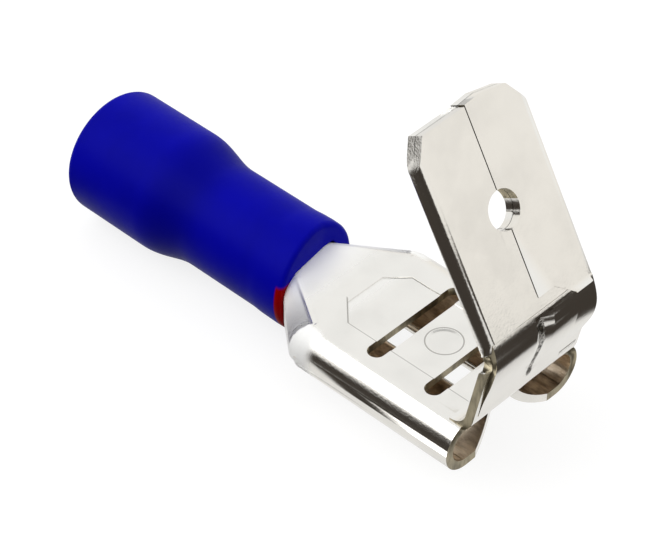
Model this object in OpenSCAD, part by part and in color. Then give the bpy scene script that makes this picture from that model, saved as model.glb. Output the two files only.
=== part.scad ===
// Piggyback spade terminal for wire of 1.5 to 2.5 mm2: a female receptacle for a
// 6.3 x 0.8 blade, with a male tab of the same size folded up from its roof.
// The metal is one stamping. A moulded sleeve is pressed over its crimp barrel.
// X runs from the wire to the mating end, Y across the blade, Z up.
// Inside the file, x = 0 is the receptacle's front and z = 0 is its roof's top face.

/* [Sheet] */
// Thickness of the metal sheet
sheet = 0.4; // [0.35:0.01:0.45]
// Width of the blade and of the tab
blade_w = 6.3; // [6.2:0.05:6.4]

/* [Receptacle] */
// Width over both curls
receptacle_w = 8.0; // [7.9:0.05:8.4]
// Height from the roof's top to the curls' lowest line
curl_h = 2.48; // [2.4:0.02:2.6]
// Free height between the roof and the curls' edges
blade_gap = 0.8; // [0.75:0.01:0.85]
// Outer radius of the inner half of each curl
inner_curl_r = 2.35; // [2.3:0.05:2.4]
// Length of the roof's straight sides
side_len = 8.15; // [8:0.05:8.4]
// Length of the curls below the skirt
curl_len = 8.4; // [8.4:0.05:8.6]
// How far the curls' edges are cut back at the front
lead_in = 0.75; // [0.3:0.05:1]
// Angle of the shoulders to the X axis
shoulder_angle = 40.2; // [36:0.2:44]

/* [Spring slots] */
// Width of each slot across the roof
slot_w = 0.79; // [0.6:0.01:0.9]
// Length of each slot
slot_len = 5.5; // [5:0.1:5.5]
// Distance of the slots' centre lines from the front
slot_from_front = [2.17, 5.29]; // [1:0.01:6]
// Radius of the locking dimple between the slots
dimple_r = 0.8; // [0.6:0.05:0.9]
// Depth of the locking dimple
dimple_depth = 0.22; // [0.1:0.01:0.25]

/* [Tab] */
// Length of the folded tab above its bend
tab_len = 9.26; // [8.5:0.02:9.6]
// Lean of the tab back from upright
tab_lean = 30.2; // [15:0.1:35]
// Lean of the root forward from upright
root_lean = 11.5; // [5:0.5:15]
// Length of the root's straight part
root_len = 3.05; // [2:0.05:3.5]
// Radius of the tab's hole
hole_r = 0.82; // [0.75:0.01:0.95]
// Distance of the hole's centre from the tip
hole_from_tip = 4.33; // [3.6:0.01:4.7]
// Length of the tip's corner cuts along the tab
tip_cut_len = 1.35; // [1:0.05:1.6]
// Width of the tip's corner cuts
tip_cut_w = 0.8; // [0.6:0.05:1]

/* [Barrel] */
// Radius of the hole for the bare wire
wire_r = 1.15; // [1.1:0.01:1.25]
// Length of the crimp barrel
barrel_len = 5.6; // [4.5:0.1:6]
// Depth of the barrel's axis below the roof's top
barrel_drop = 1.12; // [1.1:0.01:1.2]

/* [Sleeve] */
// Length of the sleeve
sleeve_len = 12.1; // [11.8:0.1:13]
// Outer radius over the barrel
sleeve_r = 2.44; // [2.4:0.01:2.5]
// Outer radius over the wire's insulation
funnel_r = 2.93; // [2.8:0.01:3]
// Radius of the hole for the wire's insulation
entry_r = 2.3; // [2.1:0.01:2.35]

/* [Hidden] */
$fn = 96;

eps = 0.02;
tab_t = 2 * sheet;

// Curls: a half circle outside, a wider arc inside
outer_curl_r = curl_h / 2;
curl_y = receptacle_w / 2 - outer_curl_r;
inner_curl_y = curl_y - 0.26;
inner_curl_z = inner_curl_r - curl_h;
inner_curl_mid = inner_curl_r - sheet / 2;
edge_z = -(sheet + blade_gap + sheet / 2);
edge_angle = acos((inner_curl_z - edge_z) / inner_curl_mid);

// Shoulders and neck: the roof's flat outline, rounded down by outer_curl_r
neck_half_w = 1.4;
neck_flat = neck_half_w - outer_curl_r;
shoulder_x = -side_len;
neck_x = shoulder_x - (curl_y - neck_flat) / tan(shoulder_angle);
shoulder_len = (curl_y - neck_flat) / sin(shoulder_angle);
neck_end_x = -12.2;
stop_x = -11.85;
neck_depth = 2.05;
corner_depth = 1.5;

// Foot, root and bend of the tab, in the XZ plane
foot_r = 0.8;
foot_x = -0.62;
bend_r = 0.3;
rise = 90 - root_lean;
turn = root_lean + tab_lean;
bend_c = [foot_x, foot_r] + turned([foot_r - bend_r, root_len], -root_lean);
tab_o = bend_c + turned([bend_r, 0], tab_lean);
fold_gap = 0.03;
seam_gap = 0.05;
flap_start = 0.3;
notch_depth = 0.22;
notch_len = 0.75;

// Barrel and sleeve along X
barrel_r = wire_r + sheet;
barrel_x = -12;
axis_z = -barrel_drop;
barrel_seam = 0.08;
mouth_x = -11.4;
rear_x = mouth_x - sleeve_len;
mouth_r = 1.95;
lip_round = 0.28;
rear_round = 0.35;

// The whole part stands on its lowest point, with its box's middle at x = 0
flap_corner = tab_o + turned([tab_t, flap_start], tab_lean);
x_mid = (rear_x + flap_corner.x) / 2;
z_low = axis_z - funnel_r;

// A point of a plane turned about the origin
function turned(p, a) = [p.x * cos(a) - p.y * sin(a), p.x * sin(a) + p.y * cos(a)];

// Half a cosine wave from 0 to 1
function ease(t) = (1 - cos(180 * t)) / 2;

// A ring's part between two angles, flat in the XY plane
module band(r_in, r_out, a0, a1) {
    steps = 6;
    reach = 1.6 * r_out;
    intersection() {
        difference() {
            circle(r_out);
            circle(r_in);
        }
        polygon(concat([[0, 0]], [for (i = [0:steps])
            reach * [cos(a0 + (a1 - a0) * i / steps), sin(a0 + (a1 - a0) * i / steps)]]));
    }
}

// A flat outline given in (x, z) becomes a solid of a width along Y
module across(width) {
    rotate([90, 0, 0]) linear_extrude(width, center = true) children();
}

// A flat outline given in (y, z) becomes a solid from x0 to x1
module along(x0, x1) {
    translate([x0, 0, 0]) rotate([90, 0, 90]) linear_extrude(x1 - x0) children();
}

module both_sides() {
    children();
    mirror([0, 1, 0]) children();
}

// Section of one curl, in (y, z)
module curl_section() {
    translate([curl_y, -outer_curl_r]) band(outer_curl_r - sheet, outer_curl_r, -90, 90);
    translate([inner_curl_y - eps, -curl_h]) square([curl_y - inner_curl_y + 2 * eps, sheet]);
    translate([inner_curl_y, inner_curl_z]) {
        band(inner_curl_r - sheet, inner_curl_r, -90 - edge_angle, -90);
        rotate(-90 - edge_angle) translate([inner_curl_mid, 0]) circle(sheet / 2);
    }
}

// Plan cut that leaves a lead-in at the curls' front edges
module lead_in_cut() {
    inner = curl_y - outer_curl_r - 1.2;
    translate([0, 0, -curl_h - eps]) linear_extrude(curl_h - sheet - 0.3)
        polygon([[eps, curl_y - 0.5], [eps, inner], [-lead_in, inner]]);
}

module curls() {
    both_sides() difference() {
        union() {
            along(shoulder_x - eps, 0) curl_section();
            intersection() {
                along(-curl_len, 0) curl_section();
                translate([-curl_len, 0, -curl_h]) cube([curl_len, receptacle_w, outer_curl_r]);
            }
        }
        lead_in_cut();
    }
}

// Flat part of the roof, from the neck to the foot of the tab
module roof_outline() {
    polygon([
        [foot_x, -curl_y], [foot_x, curl_y], [shoulder_x, curl_y], [neck_x, neck_flat],
        [neck_end_x, neck_flat], [neck_end_x, -neck_flat], [neck_x, -neck_flat], [shoulder_x, -curl_y]
    ]);
}

// Section of the rounded-down edge of the roof, in (outwards, z)
module rim_section() {
    translate([0, -outer_curl_r]) band(outer_curl_r - sheet, outer_curl_r, 0, 90);
    translate([outer_curl_r - sheet, -neck_depth])
        square([sheet, neck_depth - outer_curl_r + eps]);
}

// Plan region on one side of the mitre between the neck and the shoulder
module mitre_side(side) {
    reach = 6;
    mitre = reach * [-sin(shoulder_angle / 2), cos(shoulder_angle / 2)];
    translate([neck_x, neck_flat, -2 * neck_depth]) linear_extrude(4 * neck_depth)
        polygon([-mitre, mitre, mitre + [side * reach, 0], -mitre + [side * reach, 0]]);
}

// The roof rounded down along the shoulders and the neck
module skirt() {
    translate([0, 0, -sheet]) linear_extrude(sheet) intersection() {
        roof_outline();
        translate([neck_end_x, -curl_y]) square([shoulder_x - neck_end_x, 2 * curl_y]);
    }
    both_sides() difference() {
        union() {
            intersection() {
                translate([0, neck_flat, 0]) along(neck_end_x, neck_x) rim_section();
                mitre_side(-1);
            }
            intersection() {
                translate([neck_x, neck_flat, 0]) rotate(shoulder_angle)
                    along(0, shoulder_len) rim_section();
                mitre_side(1);
            }
            translate([shoulder_x, curl_y, 0]) rotate(90)
                rotate_extrude(angle = shoulder_angle) rim_section();
        }
        across(3 * receptacle_w) polygon([
            [shoulder_x + 2, -neck_depth - 1], [shoulder_x + 2, -corner_depth],
            [shoulder_x - 0.3, -corner_depth], [neck_x + 0.6, -neck_depth - 0.01],
            [neck_x + 0.6, -neck_depth - 1]
        ]);
    }
}

// The neck's rear end is opened to the barrel's bore, and what is left above is the wire's stop
module neck() {
    difference() {
        skirt();
        translate([neck_end_x - eps, 0, axis_z]) rotate([0, 90, 0])
            cylinder(r = wire_r, h = stop_x - neck_end_x);
    }
}

// A slot across the roof, with round ends
module spring_slot(x) {
    straight = slot_len - slot_w;
    translate([x, 0, -2 * sheet]) linear_extrude(3 * sheet) {
        square([slot_w, straight], center = true);
        for (side = [-1, 1])
            translate([0, side * straight / 2]) circle(slot_w / 2);
    }
}

// A round-bottomed dimple pressed down into the roof
module dimple(r, depth) {
    ball_r = (r * r + depth * depth) / (2 * depth);
    translate([0, 0, ball_r - depth]) sphere(ball_r);
}

module roof() {
    dimple_x = -(slot_from_front[0] + slot_from_front[1]) / 2;
    difference() {
        union() {
            translate([0, 0, -sheet]) linear_extrude(sheet) intersection() {
                roof_outline();
                translate([shoulder_x - eps, -curl_y - eps])
                    square([foot_x - shoulder_x + eps, 2 * (curl_y + eps)]);
            }
            intersection() {
                translate([dimple_x, 0, -sheet]) dimple(dimple_r, dimple_depth);
                translate([dimple_x, 0, -2 * sheet]) cylinder(r = 1.1 * dimple_r, h = 1.5 * sheet);
            }
        }
        for (d = slot_from_front)
            spring_slot(-d);
        translate([dimple_x, 0, 0]) dimple(dimple_r, dimple_depth);
        coined_channel();
    }
}

// Shallow channel coined in the roof's top, with its rear corners cut
module coined_channel() {
    depth = 0.04;
    half_w = 1.94;
    rear_half_w = 0.85;
    rear = -8.36;
    corner = rear + half_w - rear_half_w;
    translate([0, 0, -depth]) linear_extrude(1) polygon([
        [foot_x + 0.3, -half_w], [foot_x + 0.3, half_w], [corner, half_w],
        [rear, rear_half_w], [rear, -rear_half_w], [corner, -half_w]
    ]);
}

// Side view of the sheet from the roof through the foot, root and bend up the tab's back
module tab_strip() {
    translate([foot_x - eps, -sheet]) square([2 * eps, sheet]);
    translate([foot_x, foot_r]) {
        band(foot_r, foot_r + sheet, -90, -root_lean);
        rotate(-root_lean) {
            translate([foot_r, -eps]) square([sheet, root_len + 2 * eps]);
            translate([foot_r - bend_r, root_len]) {
                band(bend_r, bend_r + sheet, 0, turn);
                rotate(turn) translate([bend_r, -eps]) square([sheet, flap_start + 3 * eps]);
            }
        }
    }
}

// The tab's own frame: x out of its front face, z up to its tip, origin on its back face
module in_tab_frame() {
    translate([tab_o.x, 0, tab_o.y]) rotate([0, -tab_lean, 0]) children();
}

// Section of the folded tab, in (x, y): a back layer and two flaps that meet at the seam
module folded_section() {
    half = blade_w / 2 - sheet;
    difference() {
        union() {
            translate([0, -half]) square([tab_t, 2 * half]);
            for (side = [-1, 1])
                translate([sheet, side * half]) circle(sheet);
        }
        translate([sheet - fold_gap / 2, -half]) square([fold_gap, 2 * half]);
        translate([sheet, -seam_gap / 2]) square([2 * sheet, seam_gap]);
    }
}

// Front view of the tab, in (y, z): cut corners, and a slightly longer right half
module tab_outline() {
    half = blade_w / 2;
    inner = half - tip_cut_w;
    polygon([
        [-half - eps, flap_start], [half + eps, flap_start],
        [half + eps, tab_len - tip_cut_len], [inner - 0.1, tab_len - 0.12],
        [0.9, tab_len + 0.12], [seam_gap / 2, tab_len + 0.05], [seam_gap / 2, tab_len],
        [-inner, tab_len - 0.04], [-half - eps, tab_len - tip_cut_len]
    ]);
}

// What the flaps leave free over the bend, in (y, z)
module flap_relief() {
    polygon([
        [-2.0, 0], [2.0, 0], [1.9, 0.35], [0.95, 1.12],
        [-0.7, 1.12], [-1.25, 0.85], [-1.9, 0.4]
    ]);
}

module folded_tab() {
    in_tab_frame() difference() {
        union() {
            intersection() {
                linear_extrude(tab_len + 1) folded_section();
                rotate([90, 0, 90]) linear_extrude(tab_t) tab_outline();
            }
            translate([0, -blade_w / 2 + sheet, flap_start - eps])
                cube([sheet, blade_w - 2 * sheet, 1.2]);
        }
        translate([sheet, 0, 0]) rotate([90, 0, 90]) linear_extrude(tab_t) flap_relief();
        translate([-1, 0, tab_len - hole_from_tip]) rotate([0, 90, 0]) cylinder(r = hole_r, h = 3);
    }
}

// A point on the root, bend or tab, at a depth out from the sheet's inner face
function on_root(depth, height) = [foot_x, foot_r] + turned([foot_r + depth, height], -root_lean);
function on_bend(depth) = bend_c + turned([bend_r + depth, 0], (tab_lean - root_lean) / 2);
function on_tab(depth, height) = tab_o + turned([depth, height], tab_lean);

// A V-shaped bar in the XZ plane whose edge runs from p to q and which opens outwards
module vee(p, q, depth, half_w) {
    d = q - p;
    translate([p.x, 0, p.y]) rotate([0, atan2(d.x, d.y), 0]) linear_extrude(norm(d))
        polygon([[0, 0], [depth, half_w], [depth, -half_w]]);
}

// Stiffening dart: a V pressed into the bend's outside, a rib inside it, a crease below it
module root() {
    difference() {
        union() {
            across(blade_w) tab_strip();
            vee(on_root(eps, root_len - 0.9), on_tab(eps, 0.75), 0.34, 0.42);
        }
        vee(on_root(sheet + eps, root_len - 0.6), on_tab(sheet + eps, 0.45), 0.8, 1.3);
        vee(on_root(sheet + eps, 0.6), on_bend(sheet - 0.12), 0.3, 0.25);
        both_sides() edge_notch();
    }
}

// Relief at each side, in two steps, where the tab's fold ends above the root
module edge_notch() {
    side = blade_w / 2 - notch_depth;
    inner = blade_w / 2 - sheet - 0.05;
    out = blade_w;
    step_z = flap_start - 0.12;
    in_tab_frame() translate([-1, 0, 0]) rotate([90, 0, 90]) linear_extrude(3) polygon([
        [out, flap_start - notch_len], [side, flap_start - notch_len], [side, step_z],
        [inner, step_z], [inner, flap_start + 0.2], [out, flap_start + 0.2]
    ]);
}

// The barrel's tube, with its seam below. The neck's walls run into its front end
module barrel() {
    translate([barrel_x, 0, axis_z]) rotate([0, -90, 0]) difference() {
        cylinder(r = barrel_r, h = barrel_len);
        translate([0, 0, -eps]) cylinder(r = wire_r, h = barrel_len + 2 * eps);
        translate([-2 * barrel_r, -barrel_seam / 2, -eps])
            cube([2 * barrel_r, barrel_seam, barrel_len + 2 * eps]);
    }
}

module terminal() {
    color([0.86, 0.85, 0.82]) {
        roof();
        curls();
        neck();
        root();
        folded_tab();
        barrel();
    }
}

// Half section of the sleeve, as [distance along the axis from the mouth, radius]
module sleeve_section() {
    barrel_end = mouth_x - barrel_x + barrel_len;
    collar_r = barrel_r - 0.1;
    waist_end = 5.6;
    funnel_end = 8.0;
    steps = 14;
    lip = [[0, mouth_r], [0, sleeve_r - lip_round], [0.08, sleeve_r - 0.1], [0.28, sleeve_r + 0.05],
        [0.6, sleeve_r + 0.04], [1.2, sleeve_r - 0.02]];
    swell = [for (i = [0:steps])
        [waist_end + (funnel_end - waist_end) * i / steps,
            sleeve_r + (funnel_r - sleeve_r) * ease(i / steps)]];
    rear_edge = [for (a = [0:15:90])
        [sleeve_len - rear_round * (1 - sin(a)), funnel_r - rear_round * (1 - cos(a))]];
    bore = [[sleeve_len, entry_r + 0.1], [sleeve_len - 0.15, entry_r], [7.4, entry_r],
        [barrel_end + 0.5, collar_r], [barrel_end, collar_r], [barrel_end, barrel_r],
        [1.1, barrel_r], [0.9, mouth_r]];
    polygon(concat(lip, swell, rear_edge, bore));
}

module insulating_sleeve() {
    color([0.05, 0.05, 0.6]) translate([mouth_x, 0, axis_z]) rotate([0, -90, 0])
        rotate_extrude() mirror([1, -1]) sleeve_section();
}

// Moves the part so that it stands on z = 0, centred on the Z axis
module placed() {
    translate([-x_mid, 0, -z_low]) children();
}

placed() terminal();
placed() insulating_sleeve();
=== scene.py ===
"""A piggyback spade terminal: one tin-plated brass stamping and its blue vinyl sleeve."""

import math

import bpy
from bpy.props import FloatProperty, FloatVectorProperty, PointerProperty
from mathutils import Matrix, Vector


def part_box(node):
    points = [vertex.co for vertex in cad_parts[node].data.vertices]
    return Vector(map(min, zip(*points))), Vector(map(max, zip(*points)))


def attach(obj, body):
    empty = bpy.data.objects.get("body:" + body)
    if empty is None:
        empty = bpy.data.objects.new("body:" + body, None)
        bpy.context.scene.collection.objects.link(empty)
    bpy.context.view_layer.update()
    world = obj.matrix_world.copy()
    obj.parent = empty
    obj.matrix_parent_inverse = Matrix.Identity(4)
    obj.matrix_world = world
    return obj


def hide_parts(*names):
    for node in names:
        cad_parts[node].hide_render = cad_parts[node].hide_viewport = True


bl_info = {
    "name": "Piggyback Spade Terminal",
    "version": (1, 0, 0),
    "blender": (4, 5, 0),
    "location": "View3D > Sidebar > Spade Terminal",
    "description": "Dresses a piggyback spade terminal and lights it",
    "category": "Object",
}

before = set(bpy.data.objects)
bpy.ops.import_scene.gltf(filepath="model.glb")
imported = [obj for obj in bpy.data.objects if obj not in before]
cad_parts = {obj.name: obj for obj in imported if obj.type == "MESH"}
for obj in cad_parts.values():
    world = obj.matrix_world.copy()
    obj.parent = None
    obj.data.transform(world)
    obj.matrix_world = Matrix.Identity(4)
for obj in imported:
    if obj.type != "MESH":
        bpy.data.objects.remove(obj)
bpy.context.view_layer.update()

MM = 0.001
SLEEVE_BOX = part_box("insulating_sleeve")
AXIS_Z = (SLEEVE_BOX[0].z + SLEEVE_BOX[1].z) / 2

# Places on the stamping: the front of the roof's top face, and the foot of the tab's back face
ROOF_FRONT = Vector((11.111, 0, 4.05)) * MM
TAB_FOOT = ROOF_FRONT + Vector((0.737, 0, 3.84)) * MM

# Lean of the tab back from upright and of the root forward, in degrees, and the ways they face
TAB_LEAN, ROOT_LEAN = 30.2, -11.5
TAB_OUT = Vector((0.86427, 0, 0.50302))
TAB_UP = Vector((-0.50302, 0, 0.86427))
ROOT_OUT = Vector((0.97992, 0, -0.19937))

# Millimetres: distances back from the roof's front, and a height above the tab's foot
SLOT_BACKS = (2.17, 5.29)
DIMPLE_BACK, DIMPLE_RADIUS = 3.73, 0.8
HOLE_HEIGHT, HOLE_RADIUS = 4.93, 0.83
CHANNEL_HALF_WIDTH = 1.94
DART_Y = -0.07

# Radius of the sleeve's mouth, and how far its rear end stands behind the solid's
MOUTH_RADIUS = 1.74 * MM
REAR_REACH = 0.13 * MM

CAMERA_PLACE = Vector((53.98, -55.02, 71.96)) * MM
CAMERA_TARGET = Vector((1.121, 0, 3.581)) * MM
LAMP_PLACE, LAMP_SIZE = Vector((-0.08, -0.17, 0.2)), 0.25


# ---------------------------------------------------------------- node graphs


class Number:
    """A number socket. Python's operators on it add Math nodes."""

    def __init__(self, graph, socket):
        self.graph = graph
        self.socket = socket

    def math(self, operation, *others):
        """The result of one Math node on this number and the others."""
        return self.graph.node("ShaderNodeMath", {"operation": operation}, (self, *others)).out()

    def __add__(self, other):
        return self.math("ADD", other)

    __radd__ = __add__

    def __mul__(self, other):
        return self.math("MULTIPLY", other)

    __rmul__ = __mul__

    def __sub__(self, other):
        return self.math("SUBTRACT", other)

    def __rsub__(self, other):
        return self * -1 + other

    def __abs__(self):
        return self.math("ABSOLUTE")

    def step(self, low, high):
        """0 below low, 1 above high, and smooth between them."""
        settings = {"interpolation_type": "SMOOTHSTEP"}
        values = {"Value": self, "From Min": low, "From Max": high}
        return self.graph.node("ShaderNodeMapRange", settings, values).out()


class Made:
    """A node that was just made, and the graph it is in."""

    def __init__(self, graph, node):
        self.graph = graph
        self.node = node

    def out(self, name=0):
        return Number(self.graph, self.node.outputs[name])


class Graph:
    """The nodes of one material or world."""

    def __init__(self, owner):
        owner.use_nodes = True
        self.tree = owner.node_tree
        self.tree.nodes.clear()

    def node(self, kind, settings=None, values=None):
        """Adds a node: its settings come first, then the values or links of its sockets."""
        made = self.tree.nodes.new(kind)
        for name, value in (settings or {}).items():
            setattr(made, name, value)
        pairs = values.items() if isinstance(values, dict) else enumerate(values or ())
        for name, value in pairs:
            self.feed(made.inputs[name], value)
        return Made(self, made)

    def feed(self, socket, value):
        if isinstance(value, Number):
            self.tree.links.new(value.socket, socket)
        else:
            socket.default_value = value

    def mix(self, factor, first, second):
        """A colour between two colours."""
        made = self.node("ShaderNodeMix", {"data_type": "RGBA"}, {"Factor": factor})
        self.feed(made.node.inputs[6], first)
        self.feed(made.node.inputs[7], second)
        return made.out(2)

    def place(self, scale=(1, 1, 1)):
        """Object coordinates in millimetres, stretched by a scale."""
        coords = self.node("ShaderNodeTexCoord").out("Object")
        size = [s / MM for s in scale]
        return self.node("ShaderNodeMapping", {}, {"Vector": coords, "Scale": size}).out()

    def split(self, vector):
        """The three numbers of a vector."""
        parts = self.node("ShaderNodeSeparateXYZ", {}, {"Vector": vector})
        return parts.out("X"), parts.out("Y"), parts.out("Z")

    def noise(self, scale, detail=3, rough=0.55, stretch=(1, 1, 1)):
        """Noise with this many lumps in a millimetre."""
        values = {"Vector": self.place(stretch), "Scale": scale, "Detail": detail, "Roughness": rough}
        return self.node("ShaderNodeTexNoise", {}, values).out("Fac")

    def bump(self, height, distance, strength=1.0, under=None):
        """A normal bent by a height field, on top of the normal under it."""
        values = {"Height": height, "Distance": distance, "Strength": strength}
        if under:
            values["Normal"] = under
        return self.node("ShaderNodeBump", {}, values).out()

    def surface(self, shader):
        self.node("ShaderNodeOutputMaterial", {}, {"Surface": shader})


def rgba(colour, shade=1.0):
    """A colour made darker by a factor, with the fourth number that a socket wants."""
    return (*[part * shade for part in colour], 1)


def new_material(name):
    material = bpy.data.materials.new(name)
    return material, Graph(material)


# ------------------------------------------------------------------ materials


def roof_crease_shade(x, y, z):
    """1 along painted shade lines: thin dark lines painted in the fine creases round the dimple and
    along the near side of the roof's channel.
    """
    near_edge = (y + CHANNEL_HALF_WIDTH).math("MINIMUM", (x + y - 1.9) * 0.707)
    on_edge = 1 - abs(near_edge).step(0.012, 0.045)
    channel = on_edge * (-0.8 - y).step(0, 0.1) * (10.5 - x).step(0, 0.2)
    along = x + (DIMPLE_BACK - ROOF_FRONT.x / MM)
    from_dimple = (along * along + y * y).math("SQRT") - DIMPLE_RADIUS
    both = channel.math("MAXIMUM", 1 - abs(from_dimple).step(0.012, 0.045))
    return both * z.step(3.93, 3.97) * (4.3 - z).step(0, 0.1)


def tinned_brass(colour):
    """Bright tin plating: slightly uneven, with rolling lines along the strip."""
    material, g = new_material("tinned_brass")
    clouds = g.noise(0.45, 3)
    grain = g.noise(9, 2, 0.6)
    rolling = g.noise(5, 2, 0.6, (0.12, 1, 1))
    tone = g.mix(clouds.step(0.35, 0.75), rgba(colour), rgba(colour, 0.93))
    rough = (clouds - 0.5) * 0.06 + (grain - 0.5) * 0.06 + 0.15
    waves = g.bump(g.noise(0.9, 2), 0.008 * MM, 0.6)
    lines = g.bump(rolling, 0.002 * MM, 0.5, waves)
    fine = g.bump(grain, 0.004 * MM, 1.0, lines)
    x, y, z = g.split(g.place())
    # The skirt and the neck next to the sleeve's mouth are paler and duller than the flat sheet: their
    # whiter colour is painted light that makes up for the shade the sleeve casts there, and they are
    # made less metallic and rougher so they mirror less of the blue sleeve
    skirt_front, neck_front = 3.8, 2.4
    skirt = (skirt_front - x).step(0, 0.7) * (4.04 - z).step(0, 0.08)
    whitened_matte = skirt.math("MAXIMUM", (neck_front - x).step(0, neck_front))
    # Painted light: the paler, whiter colour on the skirt and the neck
    tone = g.mix(whitened_matte, tone, (0.97, 0.97, 0.96, 1))
    # Painted shade: the crease lines round the dimple and along the channel are darkened in the colour
    tone = g.mix(roof_crease_shade(x, y, z) * 0.6, tone, (0.16, 0.15, 0.13, 1))
    # The bottom of the dart is crumpled
    dart_height = z.step(5, 5.4) * (8.4 - z).step(0, 0.3)
    crease = (1 - abs(y - DART_Y).step(0.08, 0.2)) * x.step(11.4, 11.7) * dart_height
    crumpled = g.bump(g.noise(5, 3, 0.7), crease * 0.2 * MM, 1.0, fine)
    # Painted shade: dark specks along the crumpled crease stand for the shade in its wrinkles
    crease_shade_specks = g.noise(4, 3, 0.65).step(0.44, 0.52)
    tone = g.mix(crease * crease_shade_specks, tone, (0.1, 0.09, 0.07, 1))
    shader = g.node("ShaderNodeBsdfPrincipled", {}, {
        "Base Color": tone, "Metallic": 1 - whitened_matte * 0.85,
        "Roughness": rough + whitened_matte * 0.5, "Normal": crumpled,
    })
    g.surface(shader.out())
    return material


def cut_brass(colour):
    """The sheet's cut edges, where the brass shows between the two layers of tin."""
    material, g = new_material("cut_brass")
    smear = g.noise(3, 3, 0.6, (1, 1, 0.3))
    grain = g.noise(14, 2, 0.6)
    tone = g.mix(smear.step(0.35, 0.7), rgba(colour), rgba(colour, 0.45))
    rough = (grain - 0.5) * 0.2 + 0.38
    shader = g.node("ShaderNodeBsdfPrincipled", {}, {
        "Base Color": tone, "Metallic": 1.0, "Roughness": rough,
        "Normal": g.bump(grain, 0.006 * MM, 0.8),
    })
    g.surface(shader.out())
    return material


def curl_hollow_tin(colour):
    """The hollows of the curls: a warmer, darker and duller tone than the outside, mottled with dark
    brown.
    """
    material, g = new_material("curl_hollow_tin")
    smear = g.noise(1.6, 4, 0.65, (0.5, 1, 1))
    grain = g.noise(8, 3, 0.6)
    warm = [part * shade for part, shade in zip(colour, (0.92, 0.8, 0.66))]
    dark = [part * shade for part, shade in zip(colour, (0.42, 0.34, 0.26))]
    tone = g.mix(smear.step(0.4, 0.66), rgba(warm), rgba(dark))
    shader = g.node("ShaderNodeBsdfPrincipled", {}, {
        "Base Color": tone, "Metallic": 1.0, "Roughness": (grain - 0.5) * 0.2 + 0.36,
        "Normal": g.bump(grain, 0.008 * MM, 0.8),
    })
    g.surface(shader.out())
    return material


def blue_vinyl(size):
    """Soft vinyl with a satin skin. Its shaded front end goes over to a dark red."""
    material, g = new_material("blue_vinyl")
    clouds = g.noise(0.35, 3)
    skin = g.noise(6, 3, 0.6)
    tone = g.mix(clouds.step(0.3, 0.75), rgba(size.colour), rgba(size.colour, 0.82))
    x, y, z = g.split(g.place())
    # Painted shade: a darker band round the waist, in place of a gap in the light reflected along the
    # sleeve
    waist = (1 - abs(x + 6.4).step(0.3, 1.9)) * 0.6
    tone = g.mix(waist, tone, rgba(size.colour, 0.55))
    mouth = (SLEEVE_BOX[1].x + size.reach) / MM
    past_mouth = x - mouth - (0.8 - y).math("MAXIMUM", 0.0) * size.slant
    shaded = past_mouth.step(-0.38, -0.28) * (y * -1).step(1.25, 1.4) * (4.15 - z).step(0.2, 0.4)
    tone = g.mix(shaded, tone, rgba(size.end_tint))
    dents = g.bump(g.noise(0.5, 2), 0.05 * MM, 0.4)
    shader = g.node("ShaderNodeBsdfPrincipled", {}, {
        "Base Color": tone, "Roughness": (skin - 0.5) * 0.14 + 0.42, "Specular IOR Level": 0.03,
        "Normal": g.bump(skin, 0.006 * MM, 0.5, dents),
    })
    g.surface(shader.out())
    return material


# -------------------------------------------------------------- mesh handling


def deselect_all():
    if bpy.context.mode != "OBJECT":
        bpy.ops.object.mode_set(mode="OBJECT")
    bpy.ops.object.select_all(action="DESELECT")


def work_on(obj):
    """Makes this the only selected object, and the active one."""
    deselect_all()
    obj.select_set(True)
    bpy.context.view_layer.objects.active = obj


def edit(obj):
    work_on(obj)
    bpy.ops.object.mode_set(mode="EDIT")
    bpy.ops.mesh.select_all(action="DESELECT")


def select_where(obj, test):
    """Goes to edit mode with only the vertices selected whose place passes a test."""
    edit(obj)
    bpy.ops.mesh.select_mode(type="VERT")
    bpy.ops.object.mode_set(mode="OBJECT")
    for vertex in obj.data.vertices:
        vertex.select = test(vertex.co)
    bpy.ops.object.mode_set(mode="EDIT")


def draw_outline(name, points):
    """A closed chain of edges through these points."""
    deselect_all()
    bpy.ops.mesh.primitive_circle_add(vertices=3, radius=MM, location=(0, 0, 0))
    drawn = bpy.context.object
    drawn.name = name
    edit(drawn)
    bpy.ops.mesh.select_all(action="SELECT")
    bpy.ops.mesh.merge(type="CENTER")
    bpy.ops.transform.translate(value=points[0])
    for here, there in zip(points, points[1:] + points[:1]):
        bpy.ops.mesh.extrude_region_move(TRANSFORM_OT_translate={"value": there - here})
    bpy.ops.mesh.select_all(action="SELECT")
    bpy.ops.mesh.remove_doubles(threshold=0.002 * MM)
    bpy.ops.mesh.select_all(action="SELECT")
    return drawn


def apply_modifier(obj, kind, **settings):
    work_on(obj)
    modifier = obj.modifiers.new(kind.title(), kind)
    for name, value in settings.items():
        setattr(modifier, name, value)
    bpy.ops.object.modifier_apply(modifier=modifier.name)


def finish_piece(obj, slot, *nodes):
    """Hands a finished piece over: it rides on the terminal and stands for its CAD nodes."""
    obj.data.name = obj.name
    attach(obj, "root")
    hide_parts(*nodes)


# ------------------------------------------------------------------- the sleeve


def ease(t):
    """Half a cosine wave from 0 to 1."""
    return (1 - math.cos(math.pi * t)) / 2


def arc(centre, radius, start, end, steps):
    """Points of an arc, given its angles in degrees."""
    angles = [math.radians(start + (end - start) * i / steps) for i in range(steps + 1)]
    return [(centre[0] + radius * math.cos(a), centre[1] + radius * math.sin(a)) for a in angles]


def slope(start, end, low, high, steps):
    """Points that go smoothly from one radius to another."""
    shares = [i / steps for i in range(steps + 1)]
    return [(start + (end - start) * share, low + (high - low) * ease(share)) for share in shares]


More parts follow.
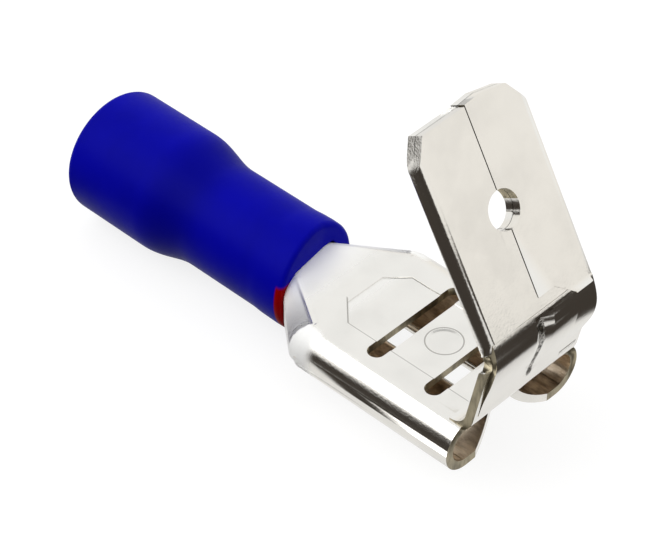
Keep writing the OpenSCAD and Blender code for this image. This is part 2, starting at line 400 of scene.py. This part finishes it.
def sleeve_outline(size):
    """Half section of the sleeve, as (distance behind the mouth, radius) in metres."""
    length = SLEEVE_BOX[1].x - SLEEVE_BOX[0].x + size.reach + REAR_REACH
    funnel = SLEEVE_BOX[1].z - AXIS_Z
    waist, bore, entry, bead = size.waist, size.bore, size.entry, size.bead
    mouth_round, rear_round, entry_round = 0.24 * MM, 0.35 * MM, 0.15 * MM
    # Outside, from the mouth over the bead and the waist to the funnel
    outline = [(0, MOUTH_RADIUS)]
    outline += arc((mouth_round, bead - mouth_round), mouth_round, 180, 90, 6)
    outline += [(0.55 * MM, bead + 0.01 * MM)]
    outline += slope(0.9 * MM, 1.6 * MM, bead, waist, 4)
    outline += [(2.8 * MM, waist), (4.2 * MM, waist)]
    outline += slope(5.4 * MM, 8.1 * MM, waist, funnel, 16)
    outline += [(9.4 * MM, funnel), (10.6 * MM, funnel)]
    # Round the rear end, and back to the mouth through the wire's entry and the bore
    outline += arc((length - rear_round, funnel - rear_round), rear_round, 90, 0, 8)
    outline += arc((length - entry_round, entry + entry_round), entry_round, 0, -90, 5)
    outline += [(9.5 * MM, entry), (7.4 * MM, entry)]
    outline += [(7.15 * MM, entry - 0.12 * MM), (6.75 * MM, bore)]
    outline += [(along * MM, bore - 0.05 * MM) for along in (6.2, 3, 1.1)]
    return outline + [(0.95 * MM, 1.7 * MM)]


def model_sleeve(size):
    """Spins the sleeve's half section round its axis, and shapes its mouth round the neck."""
    outline = sleeve_outline(size)
    mouth = SLEEVE_BOX[1].x + size.reach
    points = [Vector((mouth - along, 0, AXIS_Z + radius)) for along, radius in outline]
    sleeve = draw_outline("sleeve", points)
    bpy.ops.mesh.spin(steps=128, angle=math.tau, center=(0, 0, AXIS_Z), axis=(1, 0, 0))
    bpy.ops.mesh.select_all(action="SELECT")
    bpy.ops.mesh.remove_doubles(threshold=0.002 * MM)
    bpy.ops.mesh.normals_make_consistent(inside=False)
    bpy.ops.object.mode_set(mode="OBJECT")
    # The mouth is cut obliquely: it reaches further forward on the near side
    for vertex in sleeve.data.vertices:
        if vertex.co.x > mouth - 0.7 * MM:
            vertex.co.x += max(0, 0.8 * MM - vertex.co.y) * size.slant
    # Its opening lies flat on the neck's top
    roof = ROOF_FRONT.z + 0.03 * MM
    select_where(sleeve, lambda at: at.z > roof and at.x > mouth - MM
                 and math.hypot(at.y, at.z - AXIS_Z) < MOUTH_RADIUS + 0.02 * MM)
    bpy.ops.transform.resize(value=(1, 1, 0), center_override=(0, 0, roof))
    bpy.ops.object.mode_set(mode="OBJECT")
    bpy.ops.object.shade_smooth_by_angle(angle=math.radians(50))
    return sleeve


# ----------------------------------------------------------------- the stamping


def is_cut_edge(centre, normal):
    """Tells whether a face is a sheared wall: at the front, in a slot, in the hole or at the seam."""
    x, y, z = (centre - ROOF_FRONT) / MM
    if z < 0.03 and abs(normal.z) < 0.6:
        in_slot = abs(y) < 2.78 and any(abs(x + back) < 0.43 for back in SLOT_BACKS)
        if in_slot or (x > -0.04 and normal.x > 0.7):
            return True
    offset = (centre - TAB_FOOT) / MM
    depth, height = offset.dot(TAB_OUT), offset.dot(TAB_UP)
    if abs(normal.y) > 0.9 and abs(y) > 2.8 and x > 0 and height < 0.2:
        return True
    if math.hypot(y, height - HOLE_HEIGHT) < HOLE_RADIUS and abs(normal.dot(TAB_OUT)) < 0.5:
        return y > 0.3 and height > HOLE_HEIGHT + 0.1
    if depth < 0.42 or height < 0.2:
        return False
    at_seam = abs(y) < 0.03 and abs(normal.y) > 0.7
    return at_seam or (height < 1.2 and normal.dot(TAB_OUT) < 0.5)


def is_inside_curl(centre, normal):
    """Tells whether a face looks at the hollow of one of the two curls."""
    x, y, z = (centre - ROOF_FRONT) / MM
    to_axis = Vector((0, math.copysign(2.76, y) - y, -1.24 - z))
    return z < -0.39 and x > -8.5 and abs(y) > 0.5 and abs(normal.x) < 0.5 and to_axis.dot(normal) > 0


def taper_flap(stamping):
    """Lets the lower end of the near flap run in below the wide bend."""
    def height(at):
        return (at - TAB_FOOT).dot(TAB_UP) / MM

    select_where(stamping, lambda at: height(at) > 0.2 and at.z > ROOF_FRONT.z + 3.5 * MM)
    bpy.ops.mesh.bisect(plane_co=TAB_FOOT + TAB_UP * 0.66 * MM, plane_no=TAB_UP)
    select_where(stamping, lambda at: (at - TAB_FOOT).dot(TAB_OUT) > 0.42 * MM and at.y < -MM
                 and -0.5 < height(at) < 0.6)
    bpy.ops.transform.translate(value=TAB_OUT * -0.2 * MM)
    bpy.ops.object.mode_set(mode="OBJECT")


def tighten_neck(stamping, tight):
    """Makes the rounding of the neck's upper edges tighter, which widens its flat top."""
    # The solid's rounding, half its flat top, and the slope of the line where skirt and neck meet
    wide, flat, mitre = 1.24, 0.16, 0.366
    skirt_front, neck_rear = -10.9, -11.7
    for vertex in stamping.data.vertices:
        x, y, z = (vertex.co - ROOF_FRONT) / MM
        over = abs(y) - flat
        on_skin = abs(math.hypot(over, z + wide) - wide) < 0.01
        if x > skirt_front or z < -wide - 0.01 or over < -0.005 or not on_skin:
            continue
        out = (wide - tight) * (1 - over / wide)
        back = out * mitre if x > neck_rear else 0
        vertex.co += Vector((-back, math.copysign(out, y), (tight - wide) * z / wide)) * MM


def flatten_dimple(stamping, depth):
    """Gives the dimple between the slots a flat floor."""
    middle = ROOF_FRONT - Vector((DIMPLE_BACK, 0, 0)) * MM

    def within(at, top, bottom, radius):
        off = (at - middle) / MM
        return bottom < off.z < top and math.hypot(off.x, off.y) < radius

    select_where(stamping, lambda at: within(at, -0.045, -0.3, 0.78))
    bpy.ops.mesh.delete(type="VERT")
    select_where(stamping, lambda at: within(at, -0.035, -0.045, 0.84))
    bpy.ops.mesh.edge_face_add()
    bpy.ops.mesh.inset(thickness=0.06 * MM, depth=-depth)
    bpy.ops.object.mode_set(mode="OBJECT")


def bend_outline(radius):
    """Side view of the wide bend and the root: the outer face, and a way back inside the metal."""
    start = TAB_FOOT + (TAB_OUT * 0.795 + TAB_UP * 0.62) * MM
    centre = start - TAB_OUT * radius
    face = [centre + Vector((x, 0, z)) for x, z in arc((0, 0), radius, TAB_LEAN, ROOT_LEAN, 16)]
    # The root runs in to the foot by two wide arcs, one in and one out
    bow, turn = 11.5 * MM, 7
    centre += (face[-1] - centre).normalized() * (radius - bow)
    bow_in = arc((0, 0), bow, ROOT_LEAN, ROOT_LEAN - turn, 6)
    face += [centre + Vector((x, 0, z)) for x, z in bow_in[1:]]
    centre += (face[-1] - centre) * 2
    bow_out = arc((0, 0), bow, 180 + ROOT_LEAN - turn, 180 + ROOT_LEAN, 6)
    face += [centre + Vector((x, 0, z)) for x, z in bow_out[1:]]
    inside = [(0.42, 0.75), (0.65, 2.2), (0.97, 3.775), (0.86, 4.03)]
    back = [ROOF_FRONT + Vector((x, 0, z)) * MM for x, z in inside]
    return [start + TAB_UP * 0.02 * MM] + face + back


def extrude_columns(name, outline, columns):
    """A solid between the first and the last of these places along Y."""
    solid = draw_outline(name, [point + Vector((0, columns[0], 0)) * MM for point in outline])
    bpy.ops.mesh.edge_face_add()
    for here, there in zip(columns, columns[1:]):
        bpy.ops.mesh.extrude_region_move(TRANSFORM_OT_translate={"value": (0, (there - here) * MM, 0)})
    bpy.ops.mesh.select_all(action="SELECT")
    bpy.ops.mesh.normals_make_consistent(inside=False)
    bpy.ops.object.mode_set(mode="OBJECT")
    return solid


def model_bend(size):
    """The wide bend below the flaps with its stiffening dart, and the plate in the flaps' arch."""
    columns = (-2.9, -0.5, DART_Y, 0.5, 1.9, 2.95)
    bend = extrude_columns("bend", bend_outline(size.bend_radius), columns)
    for vertex in bend.data.vertices:
        x, y, z = (vertex.co - ROOF_FRONT) / MM
        if x < 0.7:
            continue
        if abs(y - DART_Y) < 0.01 and 1.2 < z < 4.6:
            depth = 0.06 + 0.26 * max(0, 1 - abs(z - 4.05) / 0.75)
            vertex.co -= ROOT_OUT * depth * MM
        if y > 1.8:
            swelling = 0.2 * ease(max(0, 1 - abs(z - 2.9) / 1.7))
            vertex.co.x += swelling * (1 if y > 2.5 else 0.4) * MM
    corners = ((0.3, 0.1), (0.775, 0.6), (0.775, 1.3), (0.3, 1.3))
    outline = [TAB_FOOT + (TAB_OUT * out + TAB_UP * up) * MM for out, up in corners]
    return bend, extrude_columns("plate", outline, (-2.05, 2.05))


def model_stamping(size):
    """Takes a copy of the terminal's solid, cleans it and works its finer forms into it."""
    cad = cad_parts["terminal"]
    deselect_all()
    stamping = bpy.data.objects.new("stamping", cad.data.copy())
    bpy.context.collection.objects.link(stamping)
    stamping.data.materials.clear()
    edit(stamping)
    bpy.ops.mesh.select_all(action="SELECT")
    bpy.ops.mesh.remove_doubles(threshold=0.001 * MM)
    bpy.ops.mesh.dissolve_limited(angle_limit=math.radians(0.5), use_dissolve_boundaries=False)
    taper_flap(stamping)
    tighten_neck(stamping, size.neck_round / MM)
    flatten_dimple(stamping, size.dimple)
    added = model_bend(size)
    work_on(stamping)
    for obj in added:
        obj.select_set(True)
    bpy.ops.object.join()
    apply_modifier(
        stamping, "BEVEL", width=size.edge_round, segments=2, limit_method="ANGLE",
        angle_limit=math.radians(50), use_clamp_overlap=True, miter_outer="MITER_SHARP",
    )
    work_on(stamping)
    bpy.ops.object.shade_smooth_by_angle(angle=math.radians(32))
    apply_modifier(stamping, "WEIGHTED_NORMAL", mode="FACE_AREA", weight=60, keep_sharp=True)
    for face in stamping.data.polygons:
        if is_cut_edge(face.center, face.normal):
            face.material_index = 1
        elif is_inside_curl(face.center, face.normal):
            face.material_index = 2
    return stamping


# -------------------------------------------------------------------- the stage


def studio_light(world, view_colour):
    """Light from above, and a dark room low down on the side that faces the viewer."""
    g = Graph(world)
    way = g.node("ShaderNodeTexCoord").out("Generated")
    x, y, z = g.split(way)
    # The light ends a little above the horizon, lower on the far side and higher at the near right
    far_side = ((y - x) * 0.707 - 0.3).math("MAXIMUM", 0.0)
    near_panel = (x * 0.6 - y * 1.2 - 0.75).math("MAXIMUM", 0.0)
    lit = (z + x * 0.13 + y * 0.1 - 0.04 + far_side - near_panel * 2).step(-0.04, 0.04)
    above = g.mix(z.step(0.05, 0.6), (0.93, 0.905, 0.86, 1), (0.96, 0.962, 0.956, 1))
    room = g.mix(lit, (0.045, 0.038, 0.032, 1), above)
    seen = g.node("ShaderNodeLightPath").out("Is Camera Ray")
    colour = g.mix(seen, room, (*view_colour, 1))
    light = g.node("ShaderNodeBackground", {}, {"Color": colour, "Strength": 1.0})
    g.node("ShaderNodeOutputWorld", {}, {"Surface": light.out()})


def floor_material(view_colour):
    """White paper: plain white to the eye, with a soft shadow. In reflections it glows: a painted pool
    of light near the part and a bright patch far behind it, dark elsewhere.
    """
    material, g = new_material("floor_paper")
    x, y, _ = g.split(g.place())
    # How far a place lies outside the part's footprint, counted less to the sides
    beyond_x = (abs(x) - 12).math("MAXIMUM", 0.0)
    beyond_y = (y * -1 - 4).math("MAXIMUM", y - 14).math("MAXIMUM", 0.0) * 0.3
    away = (beyond_x * beyond_x + beyond_y * beyond_y).math("SQRT")
    # Painted light: reflections see the floor glow in a pool round the part and over a wide patch far
    # behind it
    far = (y - x).step(8, 20).math("MAXIMUM", x.step(22, 30) * (1 - abs(y).step(5, 9)))
    bright = (1 - away.step(1.2, 3.6)).math("MAXIMUM", far)
    path = g.node("ShaderNodeLightPath")
    camera, glossy = path.out("Is Camera Ray"), path.out("Is Glossy Ray")
    paper = g.node("ShaderNodeBsdfDiffuse", {}, {"Color": (0.25, 0.25, 0.25, 1)}).out()
    glow = g.node("ShaderNodeEmission", {}, {"Color": (*view_colour, 1), "Strength": 0.8}).out()
    seen = g.node("ShaderNodeAddShader", {}, (paper, glow)).out()
    mirrored = g.mix(bright, (0.05, 0.042, 0.035, 1), (0.85, 0.84, 0.82, 1))
    reflection = g.node("ShaderNodeEmission", {}, {"Color": mirrored, "Strength": 1.0}).out()
    other = g.node("ShaderNodeMixShader", {}, (glossy, paper, reflection)).out()
    top = g.node("ShaderNodeMixShader", {}, (camera, other, seen)).out()
    under = g.node("ShaderNodeNewGeometry").out("Backfacing")
    clear = g.node("ShaderNodeBsdfTransparent").out()
    g.surface(g.node("ShaderNodeMixShader", {}, (under, top, clear)).out())
    return material


def put_in_scene(name, data, place, target):
    """Adds an object that looks from a place to a target."""
    added = bpy.data.objects.new(name, data)
    bpy.context.collection.objects.link(added)
    added.location = place
    added.rotation_euler = (target - place).to_track_quat("-Z", "Y").to_euler()
    return added


def add_camera(lens):
    data = bpy.data.cameras.new("camera")
    data.lens = lens
    data.sensor_width = 36
    data.sensor_fit = "HORIZONTAL"
    data.clip_start, data.clip_end = 5 * MM, 10
    bpy.context.scene.camera = put_in_scene("camera", data, CAMERA_PLACE, CAMERA_TARGET)


def add_lamp(name, power):
    data = bpy.data.lights.new(name, "AREA")
    data.size = LAMP_SIZE
    data.energy = power
    put_in_scene(name, data, LAMP_PLACE, Vector((0, 0, 0)))


# ------------------------------------------------------------------- properties


class SleeveSettings(bpy.types.PropertyGroup):
    reach: FloatProperty(
        name="Reach", description="How far the mouth comes forward over the neck",
        default=0.15 * MM, unit="LENGTH", precision=5,
    )
    slant: FloatProperty(
        name="Slant", description="How obliquely the mouth is cut, as a slope",
        default=0.16,
    )
    waist: FloatProperty(
        name="Waist radius", description="Outer radius over the crimp barrel",
        default=2.44 * MM, unit="LENGTH", precision=5,
    )
    bead: FloatProperty(
        name="Bead radius", description="Outer radius of the bead at the mouth",
        default=2.48 * MM, unit="LENGTH", precision=5,
    )
    bore: FloatProperty(
        name="Bore radius", description="Radius of the bore over the barrel",
        default=1.55 * MM, unit="LENGTH", precision=5,
    )
    entry: FloatProperty(
        name="Entry radius", description="Radius of the hole for the wire's insulation",
        default=2.3 * MM, unit="LENGTH", precision=5,
    )
    colour: FloatVectorProperty(
        name="Colour", description="Colour of the vinyl", subtype="COLOR",
        default=(0.001, 0.001, 0.35), min=0, max=1,
    )
    end_tint: FloatVectorProperty(
        name="End tint", description="Colour of the shaded part of the front end", subtype="COLOR",
        default=(0.25, 0.0, 0.0), min=0, max=1,
    )


class StampingSettings(bpy.types.PropertyGroup):
    edge_round: FloatProperty(
        name="Edge rounding", description="Bevel of sharp edges, before overlaps are clamped",
        default=0.03 * MM, unit="LENGTH", precision=5,
    )
    bend_radius: FloatProperty(
        name="Bend radius", description="Outer radius of the wide bend below the flaps",
        default=1.9 * MM, unit="LENGTH", precision=5,
    )
    neck_round: FloatProperty(
        name="Neck rounding", description="Rounding of the neck's upper edges",
        default=0.7 * MM, unit="LENGTH", precision=5,
    )
    dimple: FloatProperty(
        name="Dimple depth", description="Depth of the dimple's flat floor",
        default=0.07 * MM, unit="LENGTH", precision=5,
    )
    tin: FloatVectorProperty(
        name="Tin", description="Colour of the tin plating", subtype="COLOR",
        default=(0.88, 0.865, 0.83), min=0, max=1,
    )
    brass: FloatVectorProperty(
        name="Cut edge", description="Colour of the sheet's cut edges", subtype="COLOR",
        default=(0.42, 0.37, 0.26), min=0, max=1,
    )


class StageSettings(bpy.types.PropertyGroup):
    background: FloatVectorProperty(
        name="Background", description="Colour of the floor and the room behind", subtype="COLOR",
        default=(1.0, 1.0, 1.0), min=0, max=1,
    )
    lens: FloatProperty(
        name="Lens", description="Focal length of the camera, in millimetres",
        default=131.95, subtype="NONE", min=10,
    )
    lamp_power: FloatProperty(
        name="Lamp power", description="Power of the soft lamp, in watts",
        default=0.3, min=0,
    )


# -------------------------------------------------------------------- operators


class SPADE_OT_sleeve(bpy.types.Operator):
    """Model the blue insulating sleeve"""

    bl_idname = "spade.sleeve"
    bl_label = "Insulating Sleeve"

    def execute(self, context):
        size = context.scene.spade_sleeve
        sleeve = model_sleeve(size)
        sleeve.data.materials.append(blue_vinyl(size))
        finish_piece(sleeve, "blue_vinyl", "insulating_sleeve")
        return {"FINISHED"}


class SPADE_OT_stamping(bpy.types.Operator):
    """Model the tin-plated stamping"""

    bl_idname = "spade.stamping"
    bl_label = "Stamping"

    def execute(self, context):
        size = context.scene.spade_stamping
        stamping = model_stamping(size)
        stamping.data.materials.append(tinned_brass(size.tin))
        stamping.data.materials.append(cut_brass(size.brass))
        stamping.data.materials.append(curl_hollow_tin(size.tin))
        finish_piece(stamping, "tinned_brass", "terminal")
        return {"FINISHED"}


class SPADE_OT_stage(bpy.types.Operator):
    """Set up the floor, the light and the camera"""

    bl_idname = "spade.stage"
    bl_label = "Stage"

    def execute(self, context):
        look = context.scene.spade_stage
        scene = context.scene
        scene.view_settings.view_transform = "Standard"
        deselect_all()
        bpy.ops.mesh.primitive_plane_add(size=0.8, location=(0, 0, -0.002 * MM))
        floor = context.object
        floor.name = "floor"
        floor.data.materials.append(floor_material(look.background))
        scene.world = bpy.data.worlds.new("room")
        studio_light(scene.world, look.background)
        add_camera(look.lens)
        add_lamp("soft_lamp", look.lamp_power)
        return {"FINISHED"}


class SPADE_PT_panel(bpy.types.Panel):
    """Sizes, colours and steps of the spade terminal"""

    bl_idname = "SPADE_PT_panel"
    bl_label = "Spade Terminal"
    bl_space_type = "VIEW_3D"
    bl_region_type = "UI"
    bl_category = "Spade Terminal"

    def draw(self, context):
        steps = (
            (context.scene.spade_sleeve, SPADE_OT_sleeve),
            (context.scene.spade_stamping, SPADE_OT_stamping),
            (context.scene.spade_stage, SPADE_OT_stage),
        )
        for settings, operator in steps:
            box = self.layout.box()
            for name in type(settings).__annotations__:
                box.prop(settings, name)
            box.operator(operator.bl_idname)


CLASSES = (
    SleeveSettings, StampingSettings, StageSettings,
    SPADE_OT_sleeve, SPADE_OT_stamping, SPADE_OT_stage, SPADE_PT_panel,
)


def register():
    for cls in CLASSES:
        bpy.utils.register_class(cls)
    bpy.types.Scene.spade_sleeve = PointerProperty(type=SleeveSettings)
    bpy.types.Scene.spade_stamping = PointerProperty(type=StampingSettings)
    bpy.types.Scene.spade_stage = PointerProperty(type=StageSettings)


def unregister():
    del bpy.types.Scene.spade_stage
    del bpy.types.Scene.spade_stamping
    del bpy.types.Scene.spade_sleeve
    for cls in reversed(CLASSES):
        bpy.utils.unregister_class(cls)


def main():
    register()
    bpy.ops.spade.stamping()
    bpy.ops.spade.sleeve()
    bpy.ops.spade.stage()


if __name__ == "__main__":
    main()
